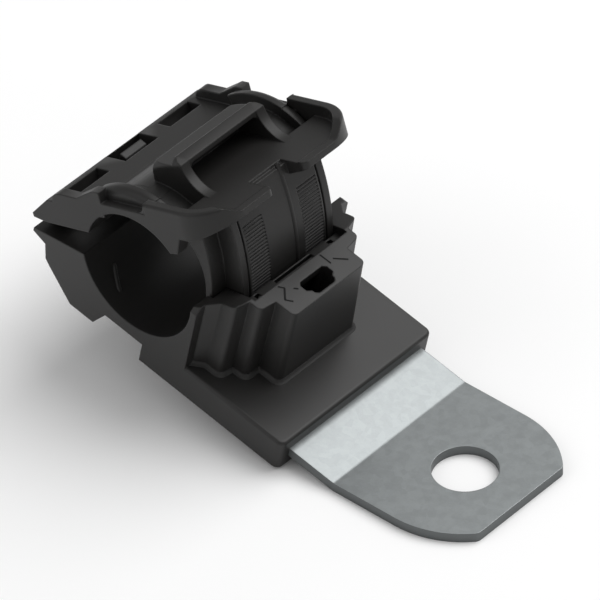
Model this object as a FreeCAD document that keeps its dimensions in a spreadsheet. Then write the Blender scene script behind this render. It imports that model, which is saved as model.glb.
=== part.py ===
"""Ratchet P clamp with a bent mounting bracket.

Origin: centre of the bolt hole on the underside of the bracket's level pad.
+Z is up, +X points from the clamp to the pad, +Y runs along the cable bore.
Lengths are in millimetres and angles in degrees.
"""

import FreeCAD, Part
import math
import os
import re
import Sketcher

# Driving dimensions: alias, value, meaning
SIZES = [
    # Mounting bracket
    ("plate_width", 25.5, "width of the steel strip"),
    ("plate_gauge", 1.37, "thickness of the steel strip"),
    ("hole_radius", 4.35, "bolt hole, close clearance for M8"),
    ("pad_reach", 9.3, "hole centre to the free end"),
    ("bend_reach", 11.01, "hole centre to the bend"),
    ("bend_angle", 13.44, "rise of the leg towards the clamp"),
    ("bend_radius", 1.2, "inside radius of the bend"),
    ("leg_length", 22.0, "bend to the embedded end"),
    ("end_half_width", 8.2, "half of the straight free end"),
    ("end_taper_length", 9.9, "length of the rounded free corners"),
    ("end_corner_radius", 13.5, "radius of the large free corners"),
    ("end_nose_radius", 1.2, "radius where the corners meet the end"),
    # Hinge
    ("hinge_back", 50.5, "bend to the hinge axis, along the leg"),
    ("hinge_height", 7.5, "hinge axis above the strip's top face"),
    ("pin_radius", 0.85, "hinge pin of the upper jaw"),
    ("pin_play", 0.05, "radial play of the pin in its hooks"),
    ("hook_radius", 1.6, "outside radius of the hinge hooks"),
    ("hook_inner", 6.15, "hinge hooks: near half-width"),
    ("hook_outer", 11.25, "hinge hooks: far half-width"),
    ("hook_side_play", 0.15, "side play between hooks and bosses"),
    ("hook_relief", 0.25, "radial play between hooks and flange"),
    ("mouth_width", 1.4, "snap mouth of the hooks"),
    ("mouth_angle", 150.0, "direction of the snap mouth"),
    ("boss_radius", 1.3, "bosses that carry the pin's ends"),
    ("boss_length", 1.5, "length of those bosses"),
    ("finger_half_width", 1.95, "guide finger between the hooks"),
    ("finger_thickness", 1.3, "guide finger along the clamp"),
    ("finger_top", 12.3, "top of the guide finger"),
    ("finger_play", 1.15, "side play round the guide finger"),
    # Lower jaw
    ("jaw_width", 29.1, "width along the bore"),
    ("cradle_back", 34.6, "bend to the bore centre"),
    ("cradle_height", 11.3, "bore centre above the strip"),
    ("cradle_radius", 9.25, "radius of the lower half of the bore"),
    ("foot_top", 1.9, "top of the moulded foot"),
    ("foot_below", 2.8, "foot below the strip's top face"),
    ("foot_front", 7.5, "bend to the front of the foot"),
    ("foot_corner", 1.0, "radius of the foot's upright corners"),
    ("foot_edge", 0.45, "radius of the foot's top edge"),
    ("bore_edge", 0.4, "radius of the bore's mouth"),
    ("lip_reach", 0.9, "rear lip behind the hinge axis"),
    ("lip_thickness", 0.6, "height of the rear lip's nose"),
    ("lip_top", 5.5, "top of the rear lip"),
    ("seat_edge_height", 7.6, "height of the rear edge of the bore"),
    ("belly_rise", 2.7, "height of the hollow under the bore"),
    ("belly_front", 31.5, "front of that hollow"),
    ("belly_back", 38.1, "rear of that hollow"),
    ("keel_front", 39.6, "front of the keel under the bore"),
    ("keel_back", 43.6, "rear of the keel under the bore"),
    ("keel_below", 2.67, "bottom of the keel"),
    ("heel_back", 47.9, "rear of the slope behind the keel"),
    ("heel_height", 1.0, "top of the slope behind the keel"),
    ("rear_wall", 49.2, "rear wall under the hinge"),
    ("rear_wall_foot", 48.7, "foot of that wall"),
    ("rear_wall_low", 1.8, "bottom of the rear wall"),
    ("rear_wall_high", 4.2, "top of the rear wall"),
    # Tower round the strap pocket
    ("tower_top", 14.7, "top of the tower"),
    ("slope_front", 20.5, "front of the tower top's rear slope"),
    ("slope_fall", 5.6, "fall of that slope down to the bore's centre"),
    ("tower_back", 24.4, "front of the strip beside the bore"),
    ("tower_front", 14.95, "front face of the tower"),
    ("shoulder_height", 12.2, "side shoulder of the tower"),
    ("shoulder_half_width", 12.3, "half-width above the shoulder"),
    ("rib_one_half", 11.65, "half-width of the first rib"),
    ("rib_one_front", 20.75, "front of the first rib"),
    ("rib_one_start", 23.0, "where the first rib leaves the cradle's slope"),
    ("groove_one", 20.3, "groove between the first and the second rib"),
    ("rib_two_half", 9.45, "half-width of the second rib"),
    ("rib_two_front", 18.4, "front of the second rib"),
    ("groove_two", 18.15, "groove between the second rib and the block"),
    ("block_half", 6.85, "half-width of the front block"),
    ("rib_round", 0.8, "radius on the ribs"),
    ("tower_flare", 0.5, "how far the ribs spread at their foot"),
    ("tower_flare_front", 0.3, "how far the fronts spread at their foot"),
    # Strap and its pocket, as radii about the hinge axis
    ("strap_gauge", 1.12, "thickness of the wide strap layer"),
    ("strap_half", 11.1, "half-width of the wide strap layer"),
    ("tooth_layer", 3.0, "thickness of the toothed layer"),
    ("tooth_rib_half", 8.6, "half-width of the toothed layer"),
    ("strap_end_angle", 21.5, "strap end below the flange plane"),
    ("tooth_pitch_angle", 1.0, "angle from tooth to tooth"),
    ("tooth_count", 22.0, "teeth in each band"),
    ("tooth_depth", 0.35, "depth of the teeth"),
    ("tooth_first_angle", 20.5, "first tooth below the flange plane"),
    ("tooth_inner", 3.3, "tooth bands: near half-width"),
    ("tooth_outer", 6.9, "tooth bands: far half-width"),
    ("line_near", 7.2, "fine groove beside the teeth: near half-width"),
    ("line_far", 7.5, "fine groove beside the teeth: far half-width"),
    ("pocket_play", 0.3, "play of the strap in its pocket"),
    ("pocket_side_play", 0.2, "side play of the strap in its pocket"),
    ("pocket_floor", 1.0, "floor of the pocket above the strip"),
    ("web_top", 6.5, "top of the web between bore and pocket"),
    ("web_back", 27.2, "rear of the cut above that web"),
    ("pocket_mouth_front", 20.03, "front edge of the pocket's mouth"),
    # Pawl
    ("pawl_half", 6.9, "half-width of the spring pawl"),
    ("pawl_root", 2.5, "root of the pawl above the strip"),
    ("pawl_front", 19.8, "front face of the pawl"),
    ("pawl_gauge", 1.1, "thickness of the pawl"),
    ("pawl_top", 13.2, "top of the pawl"),
    ("tip_play", 0.17, "play between pawl tips and teeth"),
    ("tip_height", 0.9, "height of the pawl tips"),
    ("tip_inner", 3.5, "pawl tips: near half-width"),
    ("tip_outer", 6.5, "pawl tips: far half-width"),
    ("chamber_play", 0.4, "space beside the pawl"),
    ("chamber_front", 18.9, "front of the pawl's chamber"),
    ("roof_gauge", 1.2, "roof over the chamber"),
    ("release_back", 18.3, "rear of the release slot"),
    ("release_neck", 16.35, "where the release slot narrows"),
    ("release_front", 15.5, "front of the release slot"),
    ("release_half", 2.5, "half-width of the release slot"),
    ("release_neck_half", 1.9, "half-width of its narrow front"),
    ("release_corner", 0.45, "cut corners of the release slot"),
    ("release_bottom", 8.0, "bottom of the release slot"),
    # Upper jaw, measured from the hinge axis along and above its flange
    ("open_angle", 30.0, "angle of the upper jaw as photographed"),
    ("lid_inset", 0.15, "how far its ends stand back from the lower jaw's"),
    ("flange_under", 0.06, "underside of the flange below the axis"),
    ("nose_reach", 1.35, "nose of the flange behind the axis"),
    ("nose_low", 0.35, "bottom of the nose"),
    ("nose_high", 0.95, "top of the nose"),
    ("flange_top", 3.5, "top of the flange"),
    ("flange_slope", 2.1, "where the rear slope meets the top"),
    ("arch_reach", 15.83, "axis to the centre of the upper bore"),
    ("arch_drop", 4.58, "that centre below the axis"),
    ("arch_radius", 8.6, "radius of the upper bore"),
    ("arch_outer", 10.0, "radius of the arch's back"),
    ("fang_width", 1.8, "width of the end fangs"),
    ("fang_tip", 24.6, "axis to the tips of the fangs"),
    ("fang_drop", 0.2, "tips of the fangs below the axis"),
    ("fang_root", 25.7, "front of the fangs at the tray"),
    ("fang_root_height", 2.4, "underside of the tray at the fangs"),
    ("tray_floor", 4.8, "floor of the tray"),
    ("tray_gauge", 0.8, "thickness of the tray's front"),
    ("tray_wedge", 28.0, "where the tray's underside starts to rise"),
    ("tray_start", 20.4, "rear end of the rim"),
    ("tray_front", 32.55, "front of the tray"),
    ("tray_round", 6.0, "radius of the tray's corners"),
    ("gutter_start", 21.6, "rear of the gutter behind the tray's floor"),
    ("gutter_end", 24.8, "front of that gutter"),
    ("gutter_radius", 2.0, "radius of that gutter"),
    ("rim_height", 1.7, "height of the rim above the floor"),
    ("rim_wall", 1.3, "width of the rim"),
    ("rim_round", 0.4, "radius on the rim's top"),
    ("lip_rise", 0.15, "height of the tray's front lip above the floor"),
    ("dip_near", 9.0, "half-width of the front lip"),
    ("dip_far", 11.5, "half-width where the rim reaches its full height"),
    ("notch_half", 3.0, "half-width of the front notch"),
    ("notch_back", 28.1, "rear of the front notch"),
    ("notch_round", 0.9, "radius of the lip beside the notch"),
    ("edge_strip", 1.5, "width of the raised side edges"),
    ("edge_top", 4.9, "height of the raised side edges"),
    ("edge_start", 3.2, "rear end of the raised side edges"),
    ("edge_round", 1.6, "radius at the rear of the raised side edges"),
    ("nub_start", 11.3, "rear of the side nubs"),
    ("nub_end", 12.5, "front of the side nubs"),
    ("nub_top", 6.6, "top of the side nubs"),
    ("wall_near", 11.6, "near half-width of the arch's side walls"),
    ("wall_far", 13.2, "far half-width of the arch's side walls"),
    ("wall_angle", 50.0, "how far those walls run round the bore"),
    ("wall_radius", 11.6, "radius of their crest"),
    ("wall_round", 1.1, "radius on their outer edge"),
    ("ledge_low", 4.15, "underside of the ledges outside those walls"),
    ("ledge_top", 5.0, "top of those ledges"),
    ("slot_start", 2.9, "flange slots: rear end"),
    ("slot_end", 5.3, "flange slots: front end"),
    ("slot_near", 5.8, "flange slots: near half-width"),
    ("slot_far", 11.6, "flange slots: far half-width"),
    # Thumb catch
    ("catch_half", 7.9, "half-width of the thumb catch"),
    ("catch_start", 9.3, "rear end of the thumb catch"),
    ("catch_peak", 20.6, "axis to the top edge of the catch"),
    ("catch_top", 9.4, "height of the catch"),
    ("catch_swell", 24.0, "radius of the catch's back"),
    ("catch_bar", 1.3, "depth of the catch's bar"),
    ("catch_end", 25.9, "front of the catch's legs"),
    ("catch_curve", 4.6, "hollow curve of the legs"),
    ("catch_wall", 1.5, "width of the catch's legs"),
    ("catch_hollow", 17.5, "rear of the hollow under the bar"),
    ("hump_half", 9.4, "half-width of the low hump behind the catch"),
    ("hump_radius", 10.9, "radius of that hump"),
    ("hump_start", 10.2, "rear end of that hump"),
    ("hump_end", 16.8, "front end of that hump"),
    ("hump_round", 0.8, "radius on the hump's sides"),
    ("catch_round", 1.1, "radius of the catch's sides"),
    ("catch_inner_round", 0.9, "radius in the corners of that hollow"),
]

DOC = FreeCAD.newDocument("p_clamp")
SHEET = DOC.addObject("Spreadsheet::Sheet", "Sizes")
for row, (alias, size, meaning) in enumerate(SIZES, start=1):
    SHEET.set("A%d" % row, alias)
    SHEET.set("B%d" % row, str(size))
    SHEET.set("C%d" % row, meaning)
    SHEET.setAlias("B%d" % row, alias)
DOC.recompute()
NAMES = {alias for alias, size, meaning in SIZES}

# The strap runs on from the upper bore, so its radii about the hinge axis follow from the arch
ARCH_SPAN = "sqrt(arch_reach ^ 2 + arch_drop ^ 2)"
STRAP_INNER = "(arch_radius + %s)" % ARCH_SPAN
STRAP_OUTER = "(%s + strap_gauge)" % STRAP_INNER
TEETH = "(%s + tooth_layer)" % STRAP_OUTER
LID_HALF = "(jaw_width / 2 - lid_inset)"


def bound(text):
    """Write a formula of size names the way the document reads it."""
    return re.sub(r"[a-z_]+", lambda word: ("Sizes." if word.group() in NAMES else "") + word.group(), text)


def number(text):
    """Present value of a formula of size names."""
    return float(SHEET.evalExpression(bound(text)))


def new_body(label, across=None, up=None, turn=None):
    """Empty body, placed in the part's frame by three formulas."""
    body = DOC.addObject("PartDesign::Body", label)
    body.Label = label
    if across:
        body.Placement.Rotation = FreeCAD.Rotation(FreeCAD.Vector(0, 1, 0), number(turn))
        body.setExpression("Placement.Base.x", bound(across))
        body.setExpression("Placement.Base.z", bound(up))
        body.setExpression("Placement.Rotation.Angle", bound(turn))
    return body


def new_sketch(body, name, plane, offset="0"):
    """Sketch on one of the body's own origin planes, moved along the plane's normal."""
    sketch = body.newObject("Sketcher::SketchObject", name)
    support = [feature for feature in body.Origin.OriginFeatures if feature.Role == plane][0]
    sketch.AttachmentSupport = [(support, "")]
    sketch.MapMode = "FlatFace"
    sketch.setExpression("AttachmentOffset.Base.z", bound(offset))
    return sketch


def hold(sketch, kind, where, formula):
    """Add one dimension to a sketch and bind it to its formula."""
    index = sketch.addConstraint(Sketcher.Constraint(kind, *where, number(formula)))
    sketch.setExpression("Constraints[%d]" % index, bound(formula))


def outline(sketch, points):
    """Closed outline. A point is (x, y), or (x, y, radius) where an arc leads to the next point.

    An arc turns left with a positive radius and right with a minus sign in front of the formula.
    """
    first = sketch.GeometryCount
    count = len(points)
    spots = [(number(point[0]), number(point[1])) for point in points]
    for index, point in enumerate(points):
        start = spots[index]
        end = spots[(index + 1) % count]
        if len(point) == 2:
            edge = Part.LineSegment(FreeCAD.Vector(*start, 0), FreeCAD.Vector(*end, 0))
        else:
            radius = number(point[2])
            chord = math.dist(start, end)
            rise = math.copysign(math.sqrt(radius**2 - chord**2 / 4), radius)
            centre = FreeCAD.Vector(
                (start[0] + end[0]) / 2 - rise * (end[1] - start[1]) / chord,
                (start[1] + end[1]) / 2 + rise * (end[0] - start[0]) / chord,
                0,
            )
            angles = [math.atan2(spot[1] - centre.y, spot[0] - centre.x) for spot in (start, end)]
            if radius < 0:
                angles.reverse()
            circle = Part.Circle(centre, FreeCAD.Vector(0, 0, 1), abs(radius))
            edge = Part.ArcOfCircle(circle, *angles)
        sketch.addGeometry(edge, False)
    starts = []
    for index, point in enumerate(points):
        turned = len(point) == 3 and number(point[2]) < 0
        starts.append((2, 1) if turned else (1, 2))
    for index, point in enumerate(points):
        following = (index + 1) % count
        joint = (first + index, starts[index][1], first + following, starts[following][0])
        sketch.addConstraint(Sketcher.Constraint("Coincident", *joint))
    for index, point in enumerate(points):
        corner = (-1, 1, first + index, starts[index][0])
        hold(sketch, "DistanceX", corner, point[0])
        hold(sketch, "DistanceY", corner, point[1])
        if len(point) == 3:
            hold(sketch, "Radius", (first + index,), point[2].lstrip("-"))


def circle(sketch, across, up, radius):
    """Circle in a sketch, bound to its formulas."""
    centre = FreeCAD.Vector(number(across), number(up), 0)
    index = sketch.addGeometry(Part.Circle(centre, FreeCAD.Vector(0, 0, 1), number(radius)), False)
    hold(sketch, "DistanceX", (-1, 1, index, 3), across)
    hold(sketch, "DistanceY", (-1, 1, index, 3), up)
    hold(sketch, "Radius", (index,), radius)


def both_halves(points):
    """A plan's run of points and its mirror image; each arc stays on its own edge."""
    image = []
    for index, point in enumerate(points):
        before = points[index - 1] if index else ()
        image.append((point[0], "-(%s)" % point[1]) + before[2:])
    return points + image[::-1]


def sweep_out(body, kind, sketch, length, both_ways=False, reverse=False):
    """Pad or pocket of a sketch."""
    feature = body.newObject("PartDesign::" + kind, sketch.Name + "_" + kind.lower())
    feature.Profile = sketch
    feature.SideType = "Symmetric" if both_ways else "One side"
    feature.Reversed = reverse
    feature.setExpression("Length", bound(length))
    sketch.Visibility = False
    return feature


def across_middle(body, kind, name, points, half_width):
    """Side-view outline, swept over the middle of the clamp."""
    sketch = new_sketch(body, name, "XZ_Plane")
    outline(sketch, points)
    return sweep_out(body, kind, sketch, "2 * (%s)" % half_width, both_ways=True)


def on_both_sides(body, kind, name, draw, near, far):
    """Side-view outline, swept between two half-widths on both sides of the middle."""
    made = []
    for side, sign in (("near", ""), ("far", "-")):
        sketch = new_sketch(body, name + "_" + side, "XZ_Plane", "%s(%s)" % (sign, near))
        draw(sketch)
        reverse = (side == "far") == (kind == "Pad")
        made.append(sweep_out(body, kind, sketch, "(%s) - (%s)" % (far, near), reverse=reverse))
    return made


def edges_near(feature, spots):
    """Names of the edges whose middles lie nearest to the given spots."""
    names = []
    for spot in spots:
        target = FreeCAD.Vector(*spot)
        gaps = []
        for index, edge in enumerate(feature.Shape.Edges, start=1):
            middle = edge.valueAt((edge.FirstParameter + edge.LastParameter) / 2)
            gaps.append((middle.distanceToPoint(target), "Edge%d" % index))
        names.append(min(gaps)[1])
    return names


def rounded(body, name, spots, radius):
    """Fillet on the edges nearest to the given spots."""
    DOC.recompute()
    base = body.Tip
    fillet = body.newObject("PartDesign::Fillet", name)
    fillet.Base = (base, edges_near(base, spots))
    fillet.setExpression("Radius", bound(radius))
    return fillet


def make_bracket():
    """Bent steel strip with one bolt hole; its leg end is moulded into the lower jaw."""
    body = new_body("mounting_bracket")
    rise = "(%s) * sin(bend_angle)"
    run = "(%s) * cos(bend_angle)"
    inner = "bend_radius * tan(bend_angle / 2)"
    outer = "(bend_radius + plate_gauge) * tan(bend_angle / 2)"
    crease = "plate_gauge * tan(bend_angle / 2)"
    tip_x = "-bend_reach - " + run % "leg_length"
    tip_z = "plate_gauge + " + rise % "leg_length"
    points = [
        ("pad_reach", "0"),
        ("pad_reach", "plate_gauge"),
        ("-bend_reach + %s" % inner, "plate_gauge", "-bend_radius"),
        ("-bend_reach - " + run % inner, "plate_gauge + " + rise % inner),
        (tip_x, tip_z),
        (tip_x + " - " + rise % "plate_gauge", tip_z + " - " + run % "plate_gauge"),
        (
            "-bend_reach - %s - %s" % (crease, run % outer),
            rise % outer,
            "bend_radius + plate_gauge",
        ),
        ("-bend_reach - %s + %s" % (crease, outer), "0"),
    ]
    across_middle(body, "Pad", "strip", points, "plate_width / 2")

    corner = [
        ("pad_reach - end_taper_length", "plate_width / 2", "-end_corner_radius"),
        ("pad_reach", "end_half_width"),
        ("pad_reach + bend_reach", "end_half_width"),
        ("pad_reach + bend_reach", "plate_width"),
        ("pad_reach - end_taper_length", "plate_width"),
    ]
    sketch = new_sketch(body, "free_corners", "XY_Plane")
    outline(sketch, corner)
    flipped = [(x, "-(%s)" % y) for x, y in [point[:2] for point in corner]]
    flipped[0] = flipped[0] + ("end_corner_radius",)
    outline(sketch, flipped)
    sweep_out(body, "Pocket", sketch, "4 * plate_gauge", both_ways=True)

    sketch = new_sketch(body, "bolt_hole", "XY_Plane")
    circle(sketch, "0", "0", "hole_radius")
    sweep_out(body, "Pocket", sketch, "4 * plate_gauge", both_ways=True)

    end = number("pad_reach")
    middle = number("plate_gauge / 2")
    spots = [(end, side * number("end_half_width"), middle) for side in (-1, 1)]
    rounded(body, "end_noses", spots, "end_nose_radius")
    return body


def turned_from_hinge(radius, height):
    """Place along the leg of a radius about the hinge axis at a height, in the lower jaw's frame."""
    return "-hinge_back + sqrt((%s) ^ 2 - (%s - hinge_height) ^ 2)" % (radius, height)


def polar(centre, radius, angle):
    """Point at a radius and an angle from a centre."""
    return (
        "%s + (%s) * cos(%s)" % (centre[0], radius, angle),
        "%s + (%s) * sin(%s)" % (centre[1], radius, angle),
    )


def make_lower_jaw():
    """Cradle, foot, tower with strap pocket and spring pawl, and hinge hooks, in one moulding."""
    body = new_body("lower_jaw", "-bend_reach", "plate_gauge", "bend_angle")
    cradle_top = "-cradle_back + sqrt(cradle_radius ^ 2 - (tower_top - cradle_height) ^ 2)"
    side = [
        ("-hinge_back - lip_reach", "lip_top - lip_thickness"),
        ("-rear_wall", "rear_wall_high"),
        ("-rear_wall_foot", "rear_wall_low"),
        ("-heel_back", "heel_height"),
        ("-keel_back", "-keel_below"),
        ("-keel_front", "-keel_below"),
        ("-belly_back", "belly_rise - foot_below"),
        ("-belly_front", "belly_rise - foot_below"),
        ("-belly_front", "-foot_below"),
        ("-foot_front", "-foot_below"),
        ("-foot_front", "foot_top"),
        ("-tower_back", "foot_top"),
        ("-tower_back", "tower_top"),
        (cradle_top, "tower_top", "-cradle_radius"),
        (
            "-cradle_back - sqrt(cradle_radius ^ 2 - (seat_edge_height - cradle_height) ^ 2)",
            "seat_edge_height",
        ),
        ("-hinge_back - lip_reach", "lip_top"),
    ]
    across_middle(body, "Pad", "cradle_and_foot", side, "jaw_width / 2")
    round_foot(body)
    add_tower(body)
    cut_shoulders(body)
    cut_strap_pocket(body)
    add_pawl(body)
    cut_plate_pocket(body)
    add_hinge_hooks(body)
    return body


def tower_half(flare, flare_front):
    """Plan of one side of the tower: two ribs and the block, spread outwards by the flares."""
    points = [("-tower_back - rib_round", "jaw_width / 2 - rib_round")]
    points.append(("-rib_one_start", "rib_one_half + %s" % flare))
    steps = [
        ("rib_one_front", "rib_one_half", "groove_one", "rib_two_half"),
        ("rib_two_front", "rib_two_half", "groove_two", "block_half"),
    ]
    for front, half, groove, following in steps:
        x = "-%s + %s" % (front, flare_front)
        y = "%s + %s" % (half, flare)
        points.append(("%s - rib_round" % x, y, "-rib_round"))
        points.append((x, "%s - rib_round" % y))
        points.append(("-%s" % groove, "%s + %s" % (following, flare)))
    x = "-tower_front + %s" % flare_front
    y = "block_half + %s" % flare
    points.append(("%s - rib_round" % x, y, "-rib_round"))
    points.append((x, "%s - rib_round" % y))
    return points


def add_tower(body):
    """Tower between a spread plan on the foot and a tighter plan at its top."""
    plans = []
    levels = [
        ("tower_foot", "foot_top / 2", "tower_flare", "tower_flare_front"),
        ("tower_head", "tower_top", "0", "0"),
    ]
    for name, height, flare, flare_front in levels:
        sketch = new_sketch(body, name, "XY_Plane", height)
        outline(sketch, both_halves(tower_half(flare, flare_front)))
        plans.append(sketch)
    loft = body.newObject("PartDesign::AdditiveLoft", "tower")
    loft.Profile = plans[0]
    loft.Sections = [plans[1]]
    loft.Ruled = True
    return loft


def round_foot(body):
    """Soft upright corners and top edges of the foot, and a soft mouth of the bore."""
    sides = (number("jaw_width / 2"), number("-jaw_width / 2"))
    front = number("-foot_front")
    top = number("foot_top")
    middle = number("(foot_top - foot_below) / 2")
    rounded(body, "foot_corners", [(front, side, middle) for side in sides], "foot_corner")
    spots = [(front, 0, top)]
    spots += [(number("-(tower_back + foot_front + foot_corner) / 2"), side, top) for side in sides]
    rounded(body, "foot_edges", spots, "foot_edge")
    bottom = number("cradle_height - cradle_radius")
    rounded(body, "bore_mouth", [(number("-cradle_back"), side, bottom) for side in sides], "bore_edge")


def cut_shoulders(body):
    """Sloping shoulders at both ends of the tower, and a slope towards the bore."""
    sketch = new_sketch(body, "shoulders", "YZ_Plane")
    for sign in ("", "-"):
        points = [
            ("%s(jaw_width)" % sign, "shoulder_height"),
            ("%s(jaw_width)" % sign, "2 * tower_top"),
            ("%s(shoulder_half_width)" % sign, "2 * tower_top"),
            ("%s(shoulder_half_width)" % sign, "tower_top"),
            ("%s(jaw_width / 2)" % sign, "shoulder_height"),
        ]
        outline(sketch, points)
    sweep_out(body, "Pocket", sketch, "2 * hinge_back", both_ways=True)
    slope = [
        ("-slope_front", "tower_top"),
        ("-slope_front", "2 * tower_top"),
        ("-cradle_back", "2 * tower_top"),
        ("-cradle_back", "tower_top - slope_fall"),
    ]
    across_middle(body, "Pocket", "rear_slope", slope, "jaw_width")


def cut_strap_pocket(body):
    """Curved pocket about the hinge axis, stepped like the strap that runs in it."""
    above = "2 * tower_top"
    inner = "%s - pocket_play" % STRAP_INNER
    outer = "%s + pocket_play" % STRAP_OUTER
    wide = [
        ("-web_back", above),
        ("-web_back", "web_top"),
        (turned_from_hinge(inner, "web_top"), "web_top", "-(%s)" % inner),
        (turned_from_hinge(inner, "pocket_floor"), "pocket_floor"),
        (turned_from_hinge(outer, "pocket_floor"), "pocket_floor", outer),
        (turned_from_hinge(outer, "tower_top"), "tower_top"),
        (turned_from_hinge(outer, "tower_top"), above),
    ]
    across_middle(body, "Pocket", "strap_pocket", wide, "strap_half + pocket_side_play")
    teeth = "%s + pocket_play" % TEETH
    narrow = [
        (turned_from_hinge(inner, "tower_top"), above),
        (turned_from_hinge(inner, "tower_top"), "tower_top", "-(%s)" % inner),
        (turned_from_hinge(inner, "pocket_floor"), "pocket_floor"),
        (turned_from_hinge(teeth, "pocket_floor"), "pocket_floor", teeth),
        (turned_from_hinge(teeth, "pawl_top"), "pawl_top"),
        ("-pocket_mouth_front", "tower_top - roof_gauge"),
        ("-pocket_mouth_front", above),
    ]
    across_middle(body, "Pocket", "tooth_pocket", narrow, "tooth_rib_half + pocket_side_play")


def add_pawl(body):
    """Spring pawl with two tips in a chamber of the block, and the release slot above it."""
    roof = "tower_top - roof_gauge"
    back = "-pawl_front - pawl_gauge - chamber_play"
    chamber = [
        (back, "pawl_root"),
        ("-chamber_front", "pawl_root"),
        ("-chamber_front", roof),
        (back, roof),
    ]
    across_middle(body, "Pocket", "chamber", chamber, "pawl_half + chamber_play")
    release = [
        ("-release_back", "release_half - release_corner"),
        ("-release_back + release_corner", "release_half"),
        ("-release_neck - release_corner", "release_half"),
        ("-release_neck", "release_neck_half"),
        ("-release_front - release_corner", "release_neck_half"),
        ("-release_front", "release_neck_half - release_corner"),
    ]
    sketch = new_sketch(body, "release_slot", "XY_Plane", "release_bottom")
    outline(sketch, both_halves(release))
    sweep_out(body, "Pocket", sketch, "tower_top", reverse=True)
    neck = [
        ("-chamber_front - chamber_play", "release_bottom"),
        ("-release_back + release_corner", "release_bottom"),
        ("-release_back + release_corner", roof),
        ("-chamber_front - chamber_play", roof),
    ]
    across_middle(body, "Pocket", "release_neck", neck, "release_half - release_corner")
    blade = [
        ("-pawl_front - pawl_gauge", "pawl_root - roof_gauge / 2"),
        ("-pawl_front", "pawl_root - roof_gauge / 2"),
        ("-pawl_front", "pawl_top"),
        ("-pawl_front - pawl_gauge", "pawl_top"),
    ]
    across_middle(body, "Pad", "pawl_blade", blade, "pawl_half")
    reach = turned_from_hinge(TEETH + " + tip_play", "pawl_top")
    tip = [
        ("-pawl_front - pawl_gauge / 2", "pawl_top - 2 * tip_height"),
        (reach, "pawl_top - tip_height / 2"),
        (reach, "pawl_top"),
        ("-pawl_front - pawl_gauge / 2", "pawl_top + tip_height / 3"),
    ]
    on_both_sides(body, "Pad", "pawl_tip", lambda sketch: outline(sketch, tip), "tip_inner", "tip_outer")


def cut_plate_pocket(body):
    """Slot that the steel strip fills."""
    slot = [
        ("-leg_length", "-plate_gauge"),
        ("0", "-plate_gauge"),
        ("0", "0"),
        ("-leg_length", "0"),
    ]
    across_middle(body, "Pocket", "plate_pocket", slot, "plate_width / 2")


def add_hinge_hooks(body):
    """Two snap hooks for the pin, and the guide finger between them."""
    axis = ("-hinge_back", "hinge_height")
    hook = [
        ("-hinge_back - lip_reach", "lip_top - lip_thickness / 2"),
        ("-rear_wall", "lip_top - lip_thickness / 2"),
        polar(axis, "hook_radius", "0") + ("hook_radius",),
        polar(axis, "hook_radius", "90") + ("hook_radius",),
        polar(axis, "hook_radius", "180"),
    ]
    draw_hook = lambda sketch: outline(sketch, hook)
    on_both_sides(body, "Pad", "hinge_hook", draw_hook, "hook_inner", "hook_outer")
    bore = "pin_radius + pin_play"
    gape = "asin(mouth_width / 2 / (%s)) / 1 deg" % bore
    lower = polar(axis, bore, "mouth_angle + %s" % gape)
    upper = polar(axis, bore, "mouth_angle - %s" % gape)
    out = "2 * hook_radius * %s(mouth_angle)"
    keyhole = [
        lower + (bore,),
        polar(axis, bore, "mouth_angle + 180") + (bore,),
        upper,
        (upper[0] + " + " + out % "cos", upper[1] + " + " + out % "sin"),
        (lower[0] + " + " + out % "cos", lower[1] + " + " + out % "sin"),
    ]
    draw_mouth = lambda sketch: outline(sketch, keyhole)
    on_both_sides(body, "Pocket", "snap_mouth", draw_mouth, "hook_inner", "hook_outer")
    finger = [
        ("-rear_wall", "lip_top"),
        ("-rear_wall + finger_thickness", "lip_top"),
        ("-rear_wall + finger_thickness", "finger_top - finger_thickness / 4"),
        ("-rear_wall + 3 * finger_thickness / 4", "finger_top"),
        ("-rear_wall", "finger_top"),
    ]
    across_middle(body, "Pad", "guide_finger", finger, "finger_half_width")


def make_upper_jaw():
    """Flange, arch, tray, thumb catch and ratchet strap in one moulding, hung on its own pin."""
    body = new_body(
        "upper_jaw",
        "-bend_reach - hinge_back * cos(bend_angle) + hinge_height * sin(bend_angle)",
        "plate_gauge + hinge_back * sin(bend_angle) + hinge_height * cos(bend_angle)",
        "bend_angle - open_angle",
    )
    add_arch(body)
    add_tray(body)
    add_side_walls(body)
    add_catch(body)
    add_strap(body)
    cut_flange(body)
    return body


def arch_point(height, radius, side):
    """Place along the flange where an arch circle passes a height."""
    return "arch_reach %s sqrt((%s) ^ 2 - (%s + arch_drop) ^ 2)" % (side, radius, height)


def arch_height(reach, radius):
    """Height of an arch circle at a place along the flange."""
    return "sqrt((%s) ^ 2 - (%s - arch_reach) ^ 2) - arch_drop" % (radius, reach)


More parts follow.
